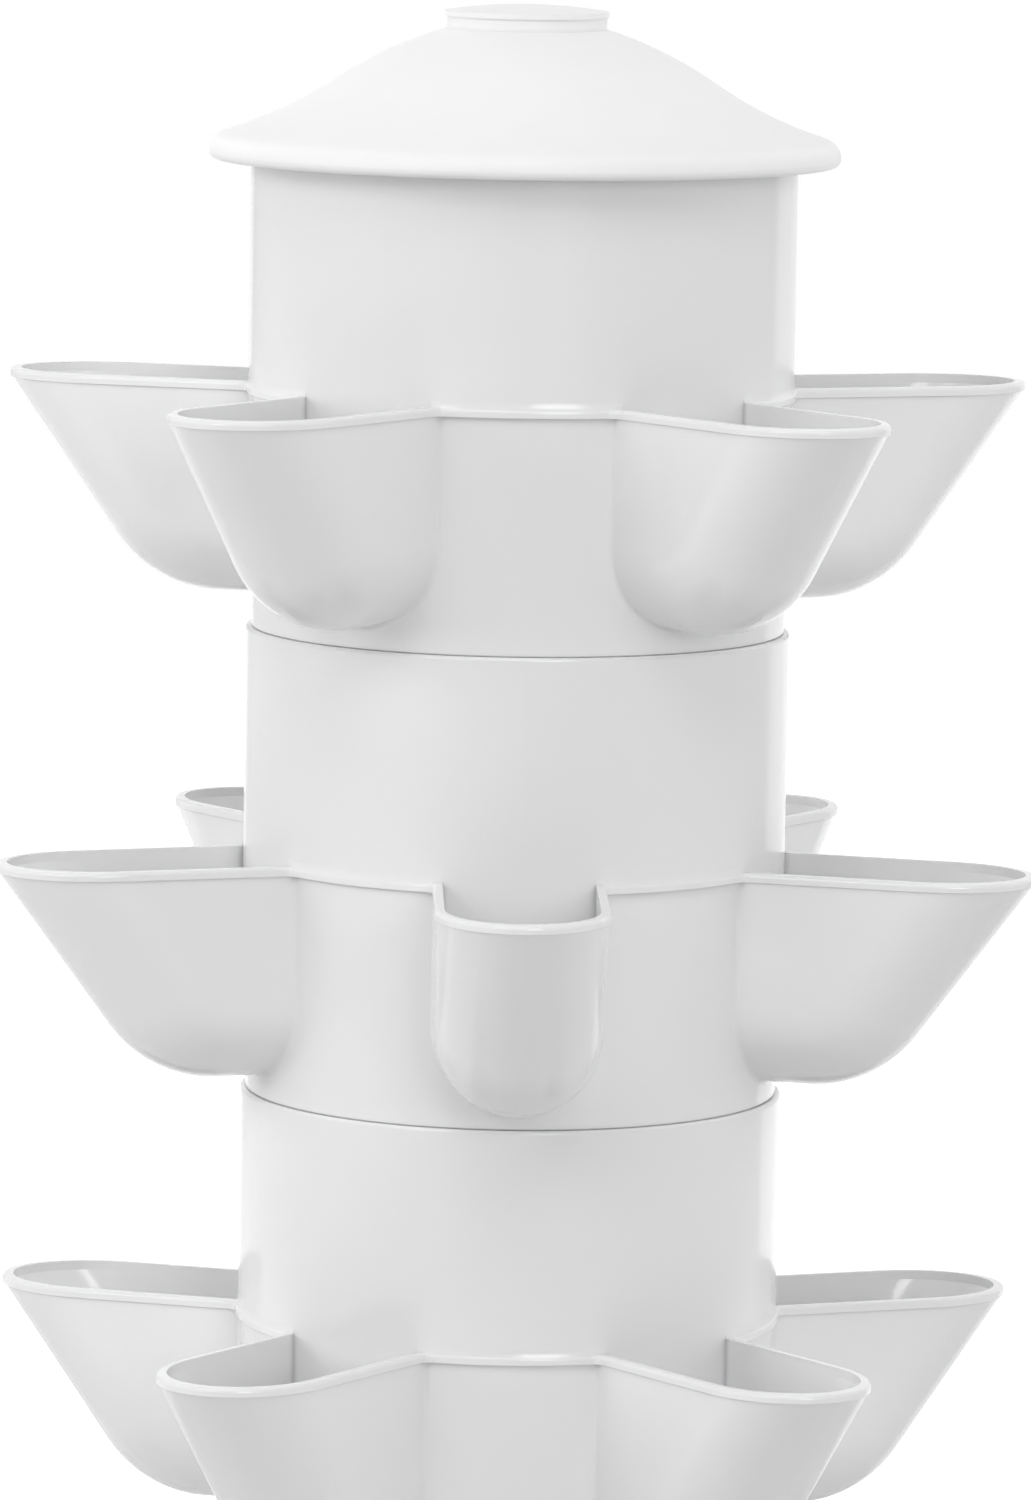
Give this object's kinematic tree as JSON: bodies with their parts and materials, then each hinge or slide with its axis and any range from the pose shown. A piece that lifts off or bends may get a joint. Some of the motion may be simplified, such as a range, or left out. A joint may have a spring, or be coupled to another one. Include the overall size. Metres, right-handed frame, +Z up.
{
  "type": "vertical planter tower",
  "caption": "White stacking planter tower: round drums with scoop-shaped planting pockets under a hat-shaped lid, on a round water tank with a pump.",
  "frame": {"origin": "on the floor, on the axis of the tower and the tank", "axes": "+Z up along the tower's axis, -Y towards the front, where the tap and the fill port are"},
  "size_m": [0.457, 0.4725, 0.8709],
  "materials": {
    "tower_white": "smooth white moulded plastic with a soft gloss",
    "tank_white": "white moulded plastic, a fine satin grain",
    "disc_grey": "light grey moulded plastic, matt",
    "pipe_white": "extruded white plastic pipe, matt",
    "pump_black": "black moulded plastic, fine spark texture",
    "ceramic": "ground ceramic, cream white",
    "black_rubber": "black rubber, matt",
    "tap_grey": "dark grey moulded plastic",
    "signal_green": "green moulded plastic, glossy",
    "float_foam": "off-white rigid foam",
    "stem_steel": "drawn stainless steel"
  },
  "bodies": {
    "base": {"tank": "tank_white", "pump_housing": "pump_black", "pump_cover": "pump_black", "pump_shaft": "ceramic", "pump_feet": "black_rubber", "tap_seal": "black_rubber", "tap_nut": "tap_grey", "tap_body": "tap_grey", "riser_tank_length": "pipe_white", "riser_sleeve_1": "pipe_white"},
    "deck": {"deck": "tank_white", "root_screen": "disc_grey", "level_bush": "tap_grey", "cable_grommet": "black_rubber"},
    "fill_cap": {"fill_cap": "tank_white"},
    "level_float": {"level_stem": "stem_steel", "level_float": "float_foam", "level_knob": "signal_green"},
    "tap_handle": {"tap_handle": "signal_green"},
    "impeller": {"pump_impeller": "pump_black"},
    "tier_1": {"tier_1": "tower_white", "drip_disc_1": "disc_grey", "riser_length_1": "pipe_white", "riser_sleeve_2": "pipe_white"},
    "tier_2": {"tier_2": "tower_white", "drip_disc_2": "disc_grey", "riser_length_2": "pipe_white", "riser_sleeve_3": "pipe_white"},
    "tier_3": {"tier_3": "tower_white", "shower_disc": "disc_grey", "riser_length_3": "pipe_white"},
    "lid": {"lid": "tower_white"},
    "lid_cap": {"lid_cap": "tower_white"}
  },
  "joints": [
    {"name": "deck_lift", "type": "slide", "parent": "base", "child": "deck", "axis": [0, 0, 1], "range_m": [0, 0.04]},
    {"name": "tier_1_lift", "type": "slide", "parent": "deck", "child": "tier_1", "axis": [0, 0, 1], "range_m": [0, 0.04]},
    {"name": "tier_2_lift", "type": "slide", "parent": "tier_1", "child": "tier_2", "axis": [0, 0, 1], "range_m": [0, 0.04]},
    {"name": "tier_3_lift", "type": "slide", "parent": "tier_2", "child": "tier_3", "axis": [0, 0, 1], "range_m": [0, 0.04]},
    {"name": "lid_lift", "type": "slide", "parent": "tier_3", "child": "lid", "axis": [0, 0, 1], "range_m": [0, 0.04]},
    {"name": "lid_cap_lift", "type": "slide", "parent": "lid", "child": "lid_cap", "axis": [0, 0, 1], "range_m": [0, 0.03]},
    {"name": "fill_cap_lift", "type": "slide", "parent": "deck", "child": "fill_cap", "axis": [0, 0, 1], "range_m": [0, 0.03]},
    {"name": "level_float_rise", "type": "slide", "parent": "deck", "child": "level_float", "axis": [0, 0, 1], "range_m": [0, 0.11]},
    {"name": "tap_turn", "type": "hinge", "parent": "base", "child": "tap_handle", "pos_m": [0, -0.223, 0.046], "axis": [0, 0, 1], "range_deg": [-90, 0]},
    {"name": "impeller_spin", "type": "hinge", "parent": "base", "child": "impeller", "pos_m": [0, -0.01, 0.045], "axis": [0, 1, 0], "continuous": true}
  ]
}
